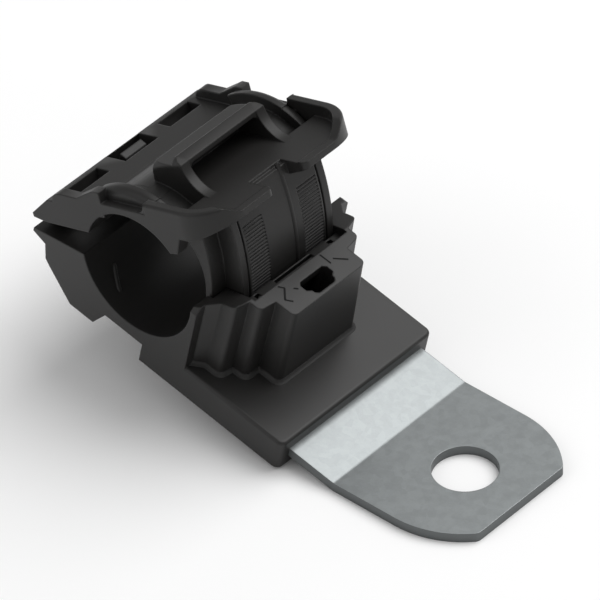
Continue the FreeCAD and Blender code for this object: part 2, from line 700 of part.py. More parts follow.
def add_arch(body):
    """Flange, upper half of the bore, tray floor and the end fangs."""
    profile = [
        ("-nose_reach", "nose_high"),
        ("-nose_reach", "nose_low"),
        ("nose_reach / 2", "-flange_under"),
        (arch_point("(-flange_under)", "arch_radius", "-"), "-flange_under", "-arch_radius"),
        (arch_point("(-fang_drop)", "arch_radius", "+"), "-fang_drop"),
        ("fang_tip", "0"),
        ("fang_root", "fang_root_height"),
        ("tray_wedge", "fang_root_height"),
        ("tray_front", "tray_floor - tray_gauge"),
        ("tray_front", "tray_floor"),
        (arch_point("tray_floor", "arch_outer", "+"), "tray_floor", "arch_outer"),
        (arch_point("flange_top", "arch_outer", "-"), "flange_top"),
        ("flange_slope", "flange_top"),
    ]
    across_middle(body, "Pad", "arch", profile, LID_HALF)
    fang = [
        (arch_point("(-fang_drop)", "arch_radius", "+"), "-arch_drop"),
        ("fang_root + fang_width", "-arch_drop"),
        ("fang_root + fang_width", "fang_root_height"),
        (arch_point("fang_root_height", "arch_radius", "+"), "fang_root_height", "-arch_radius"),
    ]
    across_middle(body, "Pocket", "between_fangs", fang, LID_HALF + " - fang_width")


def tray_half(inset):
    """One side of the tray's plan from the rear to the front, moved inwards by an inset."""
    round_edge = "(tray_round - %s)" % inset
    return [
        ("tray_start - %s" % inset, "%s - %s" % (LID_HALF, inset)),
        ("tray_front - tray_round", "%s - %s" % (LID_HALF, inset), "-" + round_edge),
        ("tray_front - %s" % inset, "%s - tray_round" % LID_HALF),
    ]


def add_tray(body):
    """Tray in front of the arch: rim with round corners, low front lip and notch."""
    sketch = new_sketch(body, "rim", "XY_Plane", "tray_floor - tray_gauge / 2")
    outline(sketch, both_halves(tray_half("0")))
    sweep_out(body, "Pad", sketch, "rim_height + tray_gauge / 2")

    sketch = new_sketch(body, "tray_hollow", "XY_Plane", "tray_floor")
    outline(sketch, both_halves(tray_half("rim_wall")))
    sweep_out(body, "Pocket", sketch, "2 * rim_height", reverse=True)

    gutter = [
        (arch_point("tray_floor", "arch_outer", "+"), "tray_floor", "-arch_outer"),
        ("gutter_start", arch_height("gutter_start", "arch_outer"), "gutter_radius"),
        ("gutter_end", "tray_floor"),
    ]
    far = LID_HALF + " - rim_wall"
    on_both_sides(body, "Pocket", "gutter", lambda sketch: outline(sketch, gutter), "catch_half", far)

    beside = ("tray_front - tray_round", "jaw_width")
    sketch = new_sketch(body, "tray_corners", "XY_Plane", "-tray_floor")
    far_side = [("2 * tray_front", "-jaw_width"), ("2 * tray_front", "jaw_width")]
    outline(sketch, both_halves([beside] + tray_half("0")[1:]) + far_side)
    sweep_out(body, "Pocket", sketch, "4 * tray_floor", reverse=True)

    dip = [
        ("dip_near", "tray_floor + lip_rise"),
        ("dip_far", "tray_floor + rim_height"),
        ("dip_far", "2 * nub_top"),
    ]
    sketch = new_sketch(body, "front_dip", "YZ_Plane", "tray_front + rim_wall")
    image = [("-(%s)" % y, z) for y, z in dip]
    outline(sketch, dip + image[::-1])
    sweep_out(body, "Pocket", sketch, "rim_wall + tray_round")

    notch = [
        ("notch_back", "2 * nub_top"),
        ("notch_back", "tray_floor"),
        (TEETH + " + lip_rise / 2", "fang_root_height / 2"),
        ("2 * tray_front", "fang_root_height / 2"),
        ("2 * tray_front", "2 * nub_top"),
    ]
    across_middle(body, "Pocket", "notch", notch, "notch_half")
    height = number("tray_floor - tray_gauge / 2 + lip_rise / 2")
    spots = [(number("tray_front"), side * number("notch_half"), height) for side in (-1, 1)]
    rounded(body, "notch_corners", spots, "notch_round")
    round_rim(body)


def round_rim(body):
    """Soft crest on the full height of the rim."""
    height = number("tray_floor + rim_height")
    x = number("(tray_start + tray_front - tray_round) / 2")
    centre = (number("tray_front - tray_round"), number("%s - tray_round" % LID_HALF))
    low = math.asin((number("dip_far") - centre[1]) / number("tray_round"))
    middle = (math.pi / 2 + low) / 2
    radius = number("tray_round")
    spots = []
    for side in (-1, 1):
        spots.append((x, side * number(LID_HALF), height))
        reach = centre[0] + radius * math.cos(middle)
        spots.append((reach, side * (centre[1] + radius * math.sin(middle)), height))
    rounded(body, "rim_crest", spots, "rim_round")


def add_side_walls(body):
    """Raised edges of the flange with their nubs, and the set-back walls and ledges beside the arch."""
    ledge = [
        ("nub_start", "ledge_low"),
        ("tray_start + rim_wall", "ledge_low"),
        ("tray_start + rim_wall", "ledge_top"),
        ("nub_start", "ledge_top"),
    ]
    on_both_sides(body, "Pad", "ledge", lambda sketch: outline(sketch, ledge), "wall_near", LID_HALF)
    scoop = [
        ("nub_start", "ledge_top"),
        ("tray_start", "ledge_top"),
        ("tray_start", "2 * nub_top"),
        ("nub_start", "2 * nub_top"),
    ]
    draw_scoop = lambda sketch: outline(sketch, scoop)
    on_both_sides(body, "Pocket", "side_scoop", draw_scoop, "wall_far", "jaw_width")
    for side, sign in (("near", ""), ("far", "-")):
        section = [
            ("%swall_near" % sign, "(arch_radius + arch_outer) / 2"),
            ("%swall_far" % sign, "(arch_radius + arch_outer) / 2"),
            ("%swall_far" % sign, "wall_radius - wall_round", sign + "wall_round"),
            ("%s(wall_far - wall_round)" % sign, "wall_radius"),
            ("%swall_near" % sign, "wall_radius"),
        ]
        sketch = new_sketch(body, "side_wall_" + side, "YZ_Plane", "arch_reach")
        sketch.setExpression("AttachmentOffset.Base.y", bound("-arch_drop"))
        outline(sketch, section)
        wall = body.newObject("PartDesign::Revolution", "side_wall_turn_" + side)
        wall.Profile = sketch
        wall.ReferenceAxis = (sketch, ["H_Axis"])
        wall.Midplane = True
        wall.setExpression("Angle", bound("wall_angle"))
        sketch.Visibility = False
    edge = [
        ("edge_start", "flange_top / 2"),
        ("nub_end", "flange_top / 2 + nub_end - nub_start"),
        ("nub_end", "nub_top"),
        ("nub_start", "nub_top"),
        ("nub_start - 2 * (nub_top - edge_top)", "edge_top"),
        ("edge_start + edge_round", "edge_top", "edge_round"),
        ("edge_start", "edge_top - edge_round"),
    ]
    near = LID_HALF + " - edge_strip"
    on_both_sides(body, "Pad", "raised_edge", lambda sketch: outline(sketch, edge), near, LID_HALF)


def add_catch(body):
    """Thumb catch, a swelling back that ends in a bar with two curved legs, and the low hump about it."""
    foot = "tray_floor - tray_gauge / 2"
    profile = [
        ("catch_start", "flange_top - tray_gauge"),
        (arch_point(foot, "arch_radius + tray_gauge", "+"), "flange_top - tray_gauge"),
        (arch_point(foot, "arch_radius + tray_gauge", "+"), foot),
        ("catch_end", foot),
        ("catch_end", "tray_floor", "-catch_curve"),
        ("catch_peak + catch_bar", "catch_top - catch_bar / 2"),
        ("catch_peak", "catch_top", "catch_swell"),
        ("catch_start", "flange_top"),
    ]
    across_middle(body, "Pad", "thumb_catch", profile, "catch_half")
    rounded(body, "catch_sides", catch_spots("catch_half", "catch_swell"), "catch_round")
    hollow = [
        ("catch_hollow", "tray_floor"),
        ("catch_end + catch_bar", "tray_floor"),
        ("catch_end + catch_bar", "2 * catch_top"),
        ("catch_peak + catch_bar", "2 * catch_top"),
        ("catch_peak + catch_bar", "catch_top - catch_bar"),
        ("catch_hollow", "catch_top - 2 * catch_bar"),
    ]
    across_middle(body, "Pocket", "catch_hollow_cut", hollow, "catch_half - catch_wall")
    x = number("(catch_hollow + catch_peak + catch_bar) / 2")
    z = number("catch_top - 1.5 * catch_bar")
    half = number("catch_half - catch_wall")
    rounded(body, "catch_corners", [(x, -half, z), (x, half, z)], "catch_inner_round")
    inner = "(arch_radius + arch_outer) / 2"
    hump = [
        ("hump_start", arch_height("hump_start", inner), "-(%s)" % inner),
        ("hump_end", arch_height("hump_end", inner)),
        ("hump_end", arch_height("hump_end", "hump_radius"), "hump_radius"),
        ("hump_start", arch_height("hump_start", "hump_radius")),
    ]
    across_middle(body, "Pad", "hump", hump, "hump_half")
    middle = number("(hump_start + hump_end) / 2")
    crest = number(arch_height("(hump_start + hump_end) / 2", "hump_radius"))
    spots = [(middle, side * number("hump_half"), crest) for side in (-1, 1)]
    rounded(body, "hump_sides", spots, "hump_round")


def catch_spots(half, radius):
    """Middles of the two long top edges of the thumb catch."""
    start = (number("catch_start"), number("flange_top"))
    end = (number("catch_peak"), number("catch_top"))
    chord = math.dist(start, end)
    bulge = number(radius) - math.sqrt(number(radius) ** 2 - chord**2 / 4)
    x = (start[0] + end[0]) / 2 - bulge * (end[1] - start[1]) / chord
    z = (start[1] + end[1]) / 2 + bulge * (end[0] - start[0]) / chord
    return [(x, side * number(half), z) for side in (-1, 1)]


def add_strap(body):
    """Curved strap about the hinge axis: wide inner layer, toothed outer layer, two tooth bands."""
    axis = ("0", "0")
    end = "-strap_end_angle"
    root = "fang_root_height"
    top = "(tray_floor - tray_gauge / 2)"
    wide = [
        (arch_point(root, "arch_radius", "+"), root, "-arch_radius"),
        polar(axis, STRAP_INNER, "-asin(arch_drop / %s)" % ARCH_SPAN) + ("-" + STRAP_INNER,),
        polar(axis, STRAP_INNER, end),
        polar(axis, STRAP_OUTER, end) + (STRAP_OUTER,),
        ("sqrt(%s ^ 2 - %s ^ 2)" % (STRAP_OUTER, top), top),
        ("gutter_end", top),
        ("gutter_end - tray_gauge", root + " + tray_gauge / 2"),
    ]
    across_middle(body, "Pad", "strap_layer", wide, "strap_half")
    overlap = "(%s - strap_gauge / 2)" % STRAP_OUTER
    narrow = [
        polar(axis, overlap, end),
        polar(axis, TEETH, end) + (TEETH,),
        ("sqrt(%s ^ 2 - %s ^ 2)" % (TEETH, top), top),
        ("sqrt(%s ^ 2 - %s ^ 2)" % (overlap, top), top, "-" + overlap),
    ]
    across_middle(body, "Pad", "tooth_layer", narrow, "tooth_rib_half")
    line = [
        polar(axis, TEETH + " - tooth_depth", end),
        polar(axis, TEETH + " + tooth_depth", end) + (TEETH + " + tooth_depth",),
        ("sqrt((%s + tooth_depth) ^ 2 - %s ^ 2)" % (TEETH, top), top),
        ("sqrt((%s - tooth_depth) ^ 2 - %s ^ 2)" % (TEETH, top), top, "-(%s - tooth_depth)" % TEETH),
    ]
    on_both_sides(body, "Pocket", "side_line", lambda sketch: outline(sketch, line), "line_near", "line_far")
    groove = [
        polar(axis, TEETH + " + tooth_depth", "-tooth_first_angle - tooth_pitch_angle / 2"),
        polar(axis, TEETH + " + tooth_depth", "-tooth_first_angle + tooth_pitch_angle / 2"),
        polar(axis, TEETH + " - tooth_depth", "-tooth_first_angle + tooth_pitch_angle / 2"),
    ]
    draw_gap = lambda sketch: outline(sketch, groove)
    gaps = on_both_sides(body, "Pocket", "tooth_gap", draw_gap, "tooth_inner", "tooth_outer")
    pattern = body.newObject("PartDesign::PolarPattern", "tooth_bands")
    pattern.Originals = gaps
    across = [feature for feature in body.Origin.OriginFeatures if feature.Role == "Y_Axis"][0]
    pattern.Axis = (across, [""])
    pattern.Reversed = True
    pattern.setExpression("Angle", bound("tooth_pitch_angle * (tooth_count - 1)"))
    pattern.setExpression("Occurrences", bound("tooth_count"))
    body.Tip = pattern


def cut_flange(body):
    """Openings in the flange: two slots, the room for the guide finger, and the room for the hooks."""
    slot = [
        ("slot_start", "-flange_top"),
        ("slot_end", "-flange_top"),
        ("slot_end", "2 * flange_top"),
        ("slot_start", "2 * flange_top"),
    ]
    draw_slot = lambda sketch: outline(sketch, slot)
    on_both_sides(body, "Pocket", "flange_slot", draw_slot, "slot_near", "slot_far")
    reach = "sqrt((hinge_back - rear_wall + finger_thickness) ^ 2 + (finger_top - hinge_height) ^ 2)"
    room = [
        ("hinge_back - rear_wall - pocket_side_play", "-flange_top"),
        (reach + " + pocket_side_play", "-flange_top"),
        (reach + " + pocket_side_play", "2 * flange_top"),
        ("hinge_back - rear_wall + finger_thickness", "2 * flange_top"),
        ("hinge_back - rear_wall - pocket_side_play", "-flange_under"),
    ]
    across_middle(body, "Pocket", "finger_room", room, "finger_half_width + finger_play")
    near = "hook_inner - hook_side_play"
    far = "hook_outer + hook_side_play"
    on_both_sides(
        body,
        "Pocket",
        "hook_room",
        lambda sketch: circle(sketch, "0", "0", "hook_radius + hook_relief"),
        near,
        far,
    )
    on_both_sides(
        body,
        "Pad",
        "inner_boss",
        lambda sketch: circle(sketch, "0", "0", "boss_radius"),
        near + " - boss_length",
        near,
    )
    on_both_sides(
        body,
        "Pad",
        "outer_boss",
        lambda sketch: circle(sketch, "0", "0", "boss_radius"),
        far,
        far + " + boss_length",
    )
    on_both_sides(
        body,
        "Pad",
        "hinge_pin",
        lambda sketch: circle(sketch, "0", "0", "pin_radius"),
        near + " - boss_length / 2",
        far + " + boss_length / 2",
    )


def check_and_write(bodies):
    """Refuse a failed feature or a broken solid, then write each body to its own file."""
    DOC.recompute()
    failed = [item.Name for item in DOC.Objects if "Invalid" in item.State or "Error" in item.State]
    if failed:
        raise RuntimeError("failed features: %s" % failed)
    os.makedirs("parts", exist_ok=True)
    for body in bodies:
        shape = body.Shape
        if shape.isNull() or not shape.isValid() or len(shape.Solids) != 1:
            raise RuntimeError("%s is not one valid solid" % body.Label)
        print(body.Label, round(shape.Volume, 1), shape.BoundBox)
    for body in bodies:
        body.Shape.exportStep("parts/%s.step" % body.Label)


check_and_write([make_bracket(), make_lower_jaw(), make_upper_jaw()])
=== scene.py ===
"""Looks of a ratchet P clamp: black moulded nylon jaws on a bent galvanised strip."""

import math

import bmesh
import bpy
from mathutils import Matrix, Vector


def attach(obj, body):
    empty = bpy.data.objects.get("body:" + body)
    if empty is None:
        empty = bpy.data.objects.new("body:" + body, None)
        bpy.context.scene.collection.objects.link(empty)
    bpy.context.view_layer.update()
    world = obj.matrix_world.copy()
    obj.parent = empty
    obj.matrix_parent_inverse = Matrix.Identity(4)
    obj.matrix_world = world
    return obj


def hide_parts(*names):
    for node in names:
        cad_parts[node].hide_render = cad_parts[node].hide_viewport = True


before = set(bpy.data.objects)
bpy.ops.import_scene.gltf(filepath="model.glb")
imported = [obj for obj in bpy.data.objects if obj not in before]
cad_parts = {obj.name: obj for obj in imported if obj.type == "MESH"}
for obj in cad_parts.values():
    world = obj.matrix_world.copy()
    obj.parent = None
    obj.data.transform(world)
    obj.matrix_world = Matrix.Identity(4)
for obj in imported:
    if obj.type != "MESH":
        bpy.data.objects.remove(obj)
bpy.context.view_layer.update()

bl_info = {
    "name": "Ratchet P clamp",
    "version": (1, 0, 0),
    "blender": (4, 5, 0),
    "location": "View3D > Sidebar > P clamp",
    "description": "Finishes a ratchet P clamp and sets its studio",
    "category": "Object",
}

MM = 0.001
# How deep an added detail stands in the jaw that carries it.
SINK = 0.1 * MM
# Corners of a carried-over mesh that are nearer than this are one corner.
WELD = 0.002 * MM
# Edges that turn more than this stay sharp in the shading.
SHARP_ANGLE = math.radians(40)
JAW_MATERIALS = {"base": "lower_jaw_nylon", "lid": "upper_jaw_nylon"}

# Lower jaw, in millimetres in its own frame.
FOOT_TOP = 1.9
TOWER_TOP = 14.7
TOWER_ROUND = 0.8
BORE_RADIUS = 9.25
# The grip rib in the bore, in degrees round the bore.
BORE_RIB_START = 226.0
BORE_RIB_SPAN = 22.0
BORE_RIB_STEPS = 10
# Plain direction strokes on top of the tower, in its plan.
STROKE_HALF = 0.09
LOCK_STROKES = (
    ((-19.62, -4.8), (-18.96, -4.34)),
    ((-18.96, -4.34), (-17.58, -5.75)),
    ((-17.58, -5.75), (-16.73, -5.15)),
    ((-18.13, -3.47), (-17.73, -3.08)),
    ((-19.67, 3.27), (-17.86, 3.3)),
    ((-18.17, 4.12), (-16.81, 5.49)),
)

# Upper jaw, in millimetres in its own frame.
FLANGE_SKIN = 3.515
ARCH_CENTRE = (15.83, -4.58)
ARCH_SKIN = 10.02
HOOD_BACK = 16.5
HOOD_HALF_WIDTH = 7.92
# Height above the whole jaw, and half of the width that a cut reaches beside the hood.
CUT_TOP = 12.0
CUT_HALF_WIDTH = 9.6
# The ends of the arch's side walls, in degrees round the arch.
WALL_END_START = 24.9
WALL_END_STEP = 2.3
WALL_END_STEPS = 8
# The strap's ridge, in degrees from the flange's upward normal about the hinge axis.
STRAP_RADIUS = 29.2
RIDGE_START = 80.0
RIDGE_SPAN = 30.5
RIDGE_STEPS = 18

# Camera frame, in pixels, and sensor width, in millimetres.
FRAME_PIXELS = 600
SENSOR = 36.0

# Turns a profile's first axis from along the object to across it.
ACROSS = Matrix(((0, 1, 0, 0), (1, 0, 0, 0), (0, 0, 1, 0), (0, 0, 0, 1)))


def tilted(origin, degrees):
    """Frame at an origin in millimetres, turned about the axis across the object."""
    turn = Matrix.Rotation(math.radians(degrees), 4, "Y")
    return Matrix.Translation(Vector(origin) * MM) @ turn


# The lower jaw and the leg of the strip share one frame, from the bend along the leg.
JAW = tilted((-11.01, 0, 1.37), 13.44)
# The upper jaw's frame starts at the hinge axis, along its flange.
LID = tilted((-58.384, 0, 20.402), -16.56)


class Sock:
    """A shader socket that builds Math nodes when it is used in an expression."""

    def __init__(self, tree, socket):
        self.tree = tree
        self.socket = socket

    def _math(self, operation, *values):
        return self.tree.node("ShaderNodeMath", {"operation": operation}, values)

    def __add__(self, other):
        return self._math("ADD", self, other)

    def __radd__(self, other):
        return self._math("ADD", other, self)

    def __sub__(self, other):
        return self._math("SUBTRACT", self, other)

    def __rsub__(self, other):
        return self._math("SUBTRACT", other, self)

    def __mul__(self, other):
        return self._math("MULTIPLY", self, other)

    def __rmul__(self, other):
        return self._math("MULTIPLY", other, self)

    def __abs__(self):
        return self._math("ABSOLUTE", self)

    def maximum(self, other):
        return self._math("MAXIMUM", self, other)

    def smooth(self, low, high):
        """0 below low, 1 above high, smooth between."""
        options = {"interpolation_type": "SMOOTHSTEP"}
        values = {"Value": self, "From Min": low, "From Max": high}
        return self.tree.node("ShaderNodeMapRange", options, values)

    def within(self, reach, blur):
        """1 nearer to zero than reach, 0 beyond it by more than blur."""
        return 1 - abs(self).smooth(reach, reach + blur)


class Tree:
    """Node tree of one material, with a short way to add nodes."""

    def __init__(self, name):
        self.material = bpy.data.materials.new(name)
        self.material.use_nodes = True
        self.nodes = self.material.node_tree.nodes
        self.links = self.material.node_tree.links
        self.shader = self.nodes["Principled BSDF"]

    def node(self, kind, options=None, values=(), output=0):
        """Node of a kind, with its settings first and then its sockets' values or links."""
        made = self.nodes.new(kind)
        for key, value in (options or {}).items():
            setattr(made, key, value)
        pairs = values.items() if isinstance(values, dict) else enumerate(values)
        for key, value in pairs:
            self.put(made.inputs[key], value)
        return Sock(self, made.outputs[output])

    def put(self, target, value):
        if isinstance(value, Sock):
            self.links.new(value.socket, target)
        else:
            target.default_value = value

    def mix(self, factor, first, second):
        """Colour between first and second."""
        made = self.nodes.new("ShaderNodeMix")
        made.data_type = "RGBA"
        self.put(made.inputs[0], factor)
        self.put(made.inputs[6], first)
        self.put(made.inputs[7], second)
        return Sock(self, made.outputs[2])

    def place(self):
        """Object coordinates."""
        return self.node("ShaderNodeTexCoord", output=3)

    def local(self, matrix):
        """Object coordinates turned into a frame of their own, as three numbers."""
        values = {"Vector": self.place()}
        values["Location"] = matrix.to_translation()
        values["Rotation"] = matrix.to_euler()
        turned = self.node("ShaderNodeMapping", {"vector_type": "TEXTURE"}, values)
        return self.axes(turned)

    def axes(self, vector):
        split = self.node("ShaderNodeSeparateXYZ", {}, [vector])
        return [Sock(self, output) for output in split.socket.node.outputs]

    def noise(self, scale, detail=3.0, roughness=0.5):
        values = {"Vector": self.place(), "Scale": scale}
        values.update({"Detail": detail, "Roughness": roughness})
        return self.node("ShaderNodeTexNoise", {}, values)

    def set(self, **values):
        """Values or links of the shader's own sockets."""
        for key, value in values.items():
            self.put(self.shader.inputs[key.replace("_", " ")], value)

    def bump(self, height, strength, distance, normal=None):
        values = {"Height": height, "Strength": strength, "Distance": distance}
        if normal is not None:
            values["Normal"] = normal
        return self.node("ShaderNodeBump", {}, values)


def grey(value, warmth=0.0):
    """Opaque colour of one brightness, a little warm or cool."""
    return (value * (1 + warmth), value, value * (1 - warmth), 1.0)


class JawFinish(bpy.types.PropertyGroup):
    """Finish of the moulded jaws"""

    shade: bpy.props.FloatProperty(
        name="Shade",
        description="Brightness of the nylon",
        default=0.016, min=0.0, max=1.0,
    )
    roughness: bpy.props.FloatProperty(
        name="Roughness",
        description="Mean roughness of the mould's satin",
        default=0.42, min=0.0, max=1.0,
    )
    gloss: bpy.props.FloatProperty(
        name="Gloss",
        description="Specular level of the lower jaw",
        default=0.38, min=0.0, max=1.0,
    )
    upper_gloss: bpy.props.FloatProperty(
        name="Upper gloss",
        description="Specular level of the upper jaw",
        default=0.3, min=0.0, max=1.0,
    )
    edge_radius: bpy.props.FloatProperty(
        name="Edge radius",
        description="Soft radius on every moulded edge",
        default=0.3 * MM, unit="LENGTH",
    )
    grain: bpy.props.FloatProperty(
        name="Grain",
        description="Size of the mould's fine texture",
        default=0.25 * MM, unit="LENGTH",
    )


class StripFinish(bpy.types.PropertyGroup):
    """Finish of the galvanised strip"""

    shade: bpy.props.FloatProperty(
        name="Shade",
        description="Brightness of the zinc",
        default=0.3, min=0.0, max=1.0,
    )
    spangle: bpy.props.FloatProperty(
        name="Spangle",
        description="Size of the zinc crystals",
        default=1.1 * MM, unit="LENGTH",
    )
    edge_radius: bpy.props.FloatProperty(
        name="Edge radius",
        description="Soft radius on the sheared edges",
        default=0.15 * MM, unit="LENGTH",
    )


class DetailSizes(bpy.types.PropertyGroup):
    """Small moulded details"""

    fillet_radius: bpy.props.FloatProperty(
        name="Tower fillet",
        description="Radius at the foot of the tower",
        default=0.5 * MM, unit="LENGTH",
    )
    rib_height: bpy.props.FloatProperty(
        name="Bore rib height",
        description="How far the bore's rib stands out",
        default=0.25 * MM, unit="LENGTH",
    )
    rib_width: bpy.props.FloatProperty(
        name="Bore rib width",
        description="Width of the bore's rib",
        default=0.6 * MM, unit="LENGTH",
    )
    ridge_height: bpy.props.FloatProperty(
        name="Strap ridge",
        description="Height of the ridge down the strap",
        default=0.18 * MM, unit="LENGTH",
    )


class StudioSettings(bpy.types.PropertyGroup):
    """Camera, floor and lamps"""

    azimuth: bpy.props.FloatProperty(
        name="Azimuth",
        description="Camera turn from looking along +Y",
        default=math.radians(42.571),
        subtype="ANGLE",
    )
    elevation: bpy.props.FloatProperty(
        name="Elevation",
        description="Camera height above the horizon",
        default=math.radians(40.321),
        subtype="ANGLE",
    )
    roll: bpy.props.FloatProperty(
        name="Roll",
        description="Camera roll",
        default=math.radians(-1.853), subtype="ANGLE",
    )
    distance: bpy.props.FloatProperty(
        name="Distance",
        description="Camera to the bolt hole",
        default=1265.7 * MM, unit="LENGTH",
    )
    lens: bpy.props.FloatProperty(
        name="Lens",
        description="Focal length in millimetres",
        default=600.0,
    )
    hole_x: bpy.props.FloatProperty(
        name="Hole across",
        description="Bolt hole in the frame, in pixels from the left",
        default=465.316,
    )
    hole_y: bpy.props.FloatProperty(
        name="Hole down",
        description="Bolt hole in the frame, in pixels from the top",
        default=476.977,
    )
    key_power: bpy.props.FloatProperty(
        name="Key lamp",
        description="Power of the large lamp behind the clamp",
        default=8.6,
        min=0.0,
        unit="POWER",
    )
    fill_power: bpy.props.FloatProperty(
        name="Fill lamp",
        description="Power of the lamp at the hinge's side",
        default=1.5,
        min=0.0,
        unit="POWER",
    )
    world_light: bpy.props.FloatProperty(
        name="World light",
        description="Strength of the even light all round",
        default=0.42,
        min=0.0,
    )


def stroke_mask(tree, strokes, height, half_width):
    """1 on thin strokes at one height in the lower jaw's plan, each between two plan points."""
    blur = half_width / 2
    mask = None
    for start, end in strokes:
        along = Vector((*end, 0)) - Vector((*start, 0))
        middle = Vector(((start[0] + end[0]) / 2, (start[1] + end[1]) / 2, height)) * MM
        turn = Matrix.Rotation(math.atan2(along.y, along.x), 4, "Z")
        x, y, z = tree.local(JAW @ Matrix.Translation(middle) @ turn)
        line = x.within(along.length / 2 * MM, blur) * y.within(half_width, blur)
        line = line * z.within(0.2 * MM, blur)
        mask = line if mask is None else mask.maximum(line)
    return mask


def nylon(name, finish, gloss, strokes=()):
    """Black moulded nylon: satin, fine grain, soft edges, and any strokes cut into it."""
    tree = Tree(name)
    cloud = tree.noise(90.0, detail=2.0)
    grain = tree.noise(1.0 / finish.grain, detail=2.0)
    colour = tree.mix(cloud, grey(finish.shade * 0.9, 0.03), grey(finish.shade * 1.12, 0.04))
    roughness = finish.roughness + 0.10 * (cloud - 0.5) + 0.06 * (grain - 0.5)
    soft = tree.node("ShaderNodeBevel", {"samples": 6}, {"Radius": finish.edge_radius})
    normal = tree.bump(grain, 0.12, 0.02 * MM, soft)
    if strokes:
        mask = stroke_mask(tree, strokes, TOWER_TOP, STROKE_HALF * MM)
        colour = tree.mix(mask, colour, grey(finish.shade * 0.3))
        roughness = roughness + 0.5 * mask
        normal = tree.bump(1 - mask, 1.0, 0.12 * MM, normal)
    tree.set(Base_Color=colour, Roughness=roughness, Normal=normal, Specular_IOR_Level=gloss)
    return tree.material


def zinc(name, finish):
    """Hot-dip galvanised steel: fine soft spangle, matt faces and darker sheared edges."""
    tree = Tree(name)
    values = {"Vector": tree.place(), "Scale": 1.0 / finish.spangle}
    cells = tree.node("ShaderNodeTexVoronoi", {}, values, output=1)
    tone = tree.node("ShaderNodeSeparateColor", {}, [cells])
    cloud = tree.noise(0.8 / finish.spangle, detail=4.0, roughness=0.6)
    fine = tree.noise(5.0 / finish.spangle, detail=3.0)
    patch = 0.18 * tone + 0.62 * cloud + 0.2 * fine
    upright = tree.axes(tree.node("ShaderNodeTexCoord", output=1))[2]
    sheared = abs(upright).within(0.35, 0.35)
    dull, bright = finish_tone(finish, 0.93), finish_tone(finish, 1.07)
    face = tree.mix(patch.smooth(0.3, 0.7), dull, bright)
    soft = tree.node("ShaderNodeBevel", {"samples": 6}, {"Radius": finish.edge_radius})
    tree.set(
        Base_Color=tree.mix(sheared, face, finish_tone(finish, 0.5)),
        Roughness=0.40 + 0.08 * (patch - 0.5) + 0.10 * sheared,
        Normal=tree.bump(patch, 0.10, 0.03 * MM, soft),
    )
    tree.shader.inputs["Metallic"].default_value = 0.85
    return tree.material


def finish_tone(finish, factor):
    """The zinc's cool grey, made lighter or darker."""
    value = finish.shade * factor
    return (value * 0.95, value * 1.01, value * 1.02, 1.0)


def dress(node, material):
    """Give a carried-over node its finish."""
    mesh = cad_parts[node].data
    mesh.materials.clear()
    mesh.materials.append(material)


def swept(profile, stations):
    """Closed shape: a flat profile carried through the stations."""
    shape = bmesh.new()
    corners = [shape.verts.new(stations[0] @ Vector(point)) for point in profile]
    first = face = shape.faces.new(corners)
    for before, after in zip(stations, stations[1:]):
        made = bmesh.ops.extrude_face_region(shape, geom=[face])["geom"]
        # A face between two runs would be left inside the piece.
        if face != first:
            bmesh.ops.delete(shape, geom=[face], context="FACES_ONLY")
        face = next(item for item in made if isinstance(item, bmesh.types.BMFace))
        corners = [item for item in made if isinstance(item, bmesh.types.BMVert)]
        bmesh.ops.transform(shape, matrix=after @ before.inverted(), verts=corners)
    bmesh.ops.recalc_face_normals(shape, faces=shape.faces[:])
    return shape


def placed(shape, name):
    """Object at the origin made from a shape, smooth but for its real edges."""
    shape.normal_update()
    for face in shape.faces:
        face.smooth = True
    for edge in shape.edges:
        edge.smooth = edge.calc_face_angle(0.0) < SHARP_ANGLE
    mesh = bpy.data.meshes.new(name)
    shape.to_mesh(mesh)
    shape.free()
    custom = mesh.attributes.get("custom_normal")
    if custom:
        mesh.attributes.remove(custom)
    piece = bpy.data.objects.new(name, mesh)
    bpy.context.scene.collection.objects.link(piece)
    return piece


def moulded(piece, body):
    """Dress a piece in the jaws' nylon and let it ride on a body."""
    piece.data.materials.clear()
    piece.data.materials.append(bpy.data.materials[JAW_MATERIALS[body]])
    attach(piece, body)


def sweep(name, profile, stations, body):
    """Moulded detail: a flat profile carried through the stations."""
    moulded(placed(swept(profile, stations), name), body)


def basis(origin, across, forward, up):
    """Matrix with the given columns."""
    matrix = Matrix((across, forward, up)).transposed().to_4x4()
    matrix.translation = origin
    return matrix


def arc(centre, radius, start, end, steps):
    """Points round a corner in a plane, with angles in degrees."""
    points = []
    for step in range(steps + 1):
        angle = math.radians(start + (end - start) * step / steps)
        x = centre[0] + radius * math.cos(angle)
        z = centre[1] + radius * math.sin(angle)
        points.append((x, z))
    return points


def flat(outline):
    """Profile in metres, in the plane along the object, from points in millimetres."""
    return [(x * MM, 0, z * MM) for x, z in outline]


def merged(mesh):
    """Shape of a mesh with its loose triangles joined."""
    shape = bmesh.new()
    shape.from_mesh(mesh)
    bmesh.ops.remove_doubles(shape, verts=shape.verts[:], dist=WELD)
    return shape


class PCLAMP_OT_jaws(bpy.types.Operator):
    """Give both jaws their moulded nylon finish"""

    bl_idname = "pclamp.jaws"
    bl_label = "Jaws"

    def execute(self, context):
        finish = context.scene.pclamp_jaws
        dress("lower_jaw", nylon(JAW_MATERIALS["base"], finish, finish.gloss, LOCK_STROKES))
        dress("upper_jaw", nylon(JAW_MATERIALS["lid"], finish, finish.upper_gloss))
        return {"FINISHED"}


